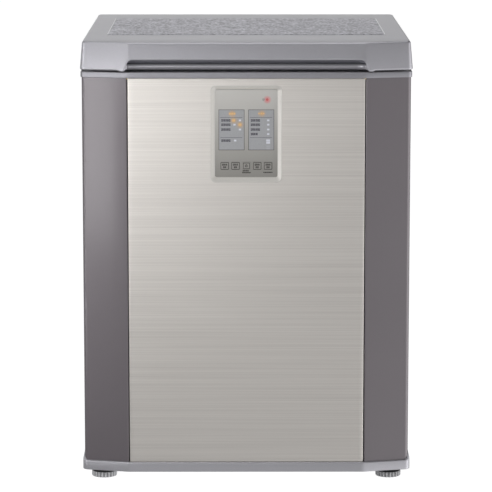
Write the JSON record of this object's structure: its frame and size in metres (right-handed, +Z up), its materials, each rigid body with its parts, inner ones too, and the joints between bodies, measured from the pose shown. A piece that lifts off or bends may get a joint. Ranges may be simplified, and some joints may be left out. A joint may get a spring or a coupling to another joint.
{
  "type": "kimchi refrigerator",
  "caption": "Chest type kimchi refrigerator with a hinged top lid, a stepped insulated tub, a front control panel, levelling feet and rear rollers.",
  "frame": {"origin": "on the floor, in the middle of the outer box", "axes": "+Z up, the front faces -Y, +X to the right of someone facing it"},
  "size_m": [0.602, 0.65, 0.8155],
  "materials": {
    "side_steel": "dark grey coated sheet steel, satin",
    "stainless": "stainless sheet with a horizontal brushed grain",
    "galvanised": "galvanised sheet steel",
    "trim_plastic": "silver grey moulded plastic, satin",
    "lid_plastic": "silver grey moulded plastic, satin",
    "lid_patterned": "silver grey plastic sheet with a fine speckled texture",
    "handle_plastic": "silver grey moulded plastic, satin",
    "foot_plastic": "grey moulded plastic with a ribbed rim",
    "bezel_plastic": "silver grey moulded plastic",
    "fascia_film": "silver grey printed film",
    "display_film": "smoky grey window with printed marks",
    "lamp_plastic": "translucent red plastic",
    "white_plastic": "white moulded plastic",
    "black_plastic": "black moulded plastic",
    "tub_aluminium": "embossed aluminium sheet",
    "foam": "rigid foam insulation, cream",
    "copper_tube": "copper tube",
    "black_steel": "black painted steel",
    "cast_iron": "cast iron",
    "zinc_steel": "zinc plated steel",
    "seal_rubber": "soft grey sealing strip",
    "black_rubber": "black rubber",
    "circuit_board": "green circuit board"
  },
  "bodies": {
    "cabinet": {"side_panel_left": "side_steel", "side_panel_right": "side_steel", "front_panel": "stainless", "back_panel": "galvanised", "machine_bulkhead": "galvanised", "base_pan": "galvanised", "base_trim": "trim_plastic", "top_collar": "trim_plastic", "body_foam": "foam", "inner_liner": "tub_aluminium", "evaporator_tube": "copper_tube", "sensor_cover": "white_plastic", "control_housing": "white_plastic", "control_bezel": "bezel_plastic", "control_fascia": "fascia_film", "display_windows": "display_film", "status_lamps": "lamp_plastic", "display_board": "circuit_board", "compressor_shell": "black_steel", "compressor_pump": "cast_iron", "compressor_grommets": "black_rubber", "compressor_bolts": "zinc_steel", "terminal_cover": "black_plastic", "condenser_coil": "black_steel", "fan_shroud": "black_plastic", "fan_motor": "zinc_steel", "filter_drier": "copper_tube", "refrigerant_pipes": "copper_tube", "control_box": "white_plastic", "main_board": "circuit_board", "wiring_harness": "black_plastic", "rear_cover": "galvanised", "rear_screws": "zinc_steel", "cord_gland": "black_plastic", "foot_sockets": "zinc_steel", "roller_brackets": "zinc_steel", "roller_axles": "zinc_steel", "hinge_brackets": "zinc_steel", "hinge_pins": "zinc_steel", "hinge_springs": "zinc_steel", "hinge_screws": "zinc_steel"},
    "lid": {"lid_shell": "lid_plastic", "lid_plate": "lid_patterned", "lid_foam": "foam", "lid_liner": "white_plastic", "lid_gasket": "seal_rubber", "lid_handle": "handle_plastic", "hinge_arms": "zinc_steel"},
    "fan": {"fan_blade": "white_plastic"},
    "foot_screw_left": {"foot_stud_left": "zinc_steel"},
    "foot_left": {"foot_disc_left": "foot_plastic"},
    "roller_left": {"roller_left": "black_plastic"},
    "foot_screw_right": {"foot_stud_right": "zinc_steel"},
    "foot_right": {"foot_disc_right": "foot_plastic"},
    "roller_right": {"roller_right": "black_plastic"},
    "key_1": {"key_1": "fascia_film"},
    "key_2": {"key_2": "fascia_film"},
    "key_3": {"key_3": "fascia_film"},
    "key_4": {"key_4": "fascia_film"},
    "key_5": {"key_5": "fascia_film"}
  },
  "joints": [
    {"name": "lid_hinge", "type": "hinge", "parent": "cabinet", "child": "lid", "pos_m": [0, 0.312, 0.7525], "axis": [-1, 0, 0], "range_deg": [0, 80], "stiffness_Nm_per_rad": 4.5, "springref_deg": 137.51, "deforming": ["hinge_springs"]},
    {"name": "fan_spin", "type": "hinge", "parent": "cabinet", "child": "fan", "pos_m": [0.01, 0.1875, 0.1425], "axis": [1, 0, 0], "continuous": true},
    {"name": "foot_left_height", "type": "slide", "parent": "cabinet", "child": "foot_screw_left", "axis": [0, 0, -1], "range_m": [0, 0.012]},
    {"name": "foot_left_turn", "type": "hinge", "parent": "foot_screw_left", "child": "foot_left", "pos_m": [-0.264, -0.2465, 0.005], "axis": [0, 0, 1], "range_deg": [0, 2880]},
    {"name": "roller_left_spin", "type": "hinge", "parent": "cabinet", "child": "roller_left", "pos_m": [-0.264, 0.255, 0.016], "axis": [1, 0, 0], "continuous": true},
    {"name": "foot_right_height", "type": "slide", "parent": "cabinet", "child": "foot_screw_right", "axis": [0, 0, -1], "range_m": [0, 0.012]},
    {"name": "foot_right_turn", "type": "hinge", "parent": "foot_screw_right", "child": "foot_right", "pos_m": [0.264, -0.2465, 0.005], "axis": [0, 0, 1], "range_deg": [0, 2880]},
    {"name": "roller_right_spin", "type": "hinge", "parent": "cabinet", "child": "roller_right", "pos_m": [0.264, 0.255, 0.016], "axis": [1, 0, 0], "continuous": true},
    {"name": "key_1_press", "type": "slide", "parent": "cabinet", "child": "key_1", "axis": [0, 1, 0], "range_m": [0, 0.0008], "stiffness_N_per_m": 400},
    {"name": "key_2_press", "type": "slide", "parent": "cabinet", "child": "key_2", "axis": [0, 1, 0], "range_m": [0, 0.0008], "stiffness_N_per_m": 400},
    {"name": "key_3_press", "type": "slide", "parent": "cabinet", "child": "key_3", "axis": [0, 1, 0], "range_m": [0, 0.0008], "stiffness_N_per_m": 400},
    {"name": "key_4_press", "type": "slide", "parent": "cabinet", "child": "key_4", "axis": [0, 1, 0], "range_m": [0, 0.0008], "stiffness_N_per_m": 400},
    {"name": "key_5_press", "type": "slide", "parent": "cabinet", "child": "key_5", "axis": [0, 1, 0], "range_m": [0, 0.0008], "stiffness_N_per_m": 400}
  ],
  "couplings": [
    {"joint": "foot_left_height", "follows": "foot_left_turn", "m_per_rad": 0.00023873},
    {"joint": "foot_right_height", "follows": "foot_right_turn", "m_per_rad": 0.00023873}
  ]
}
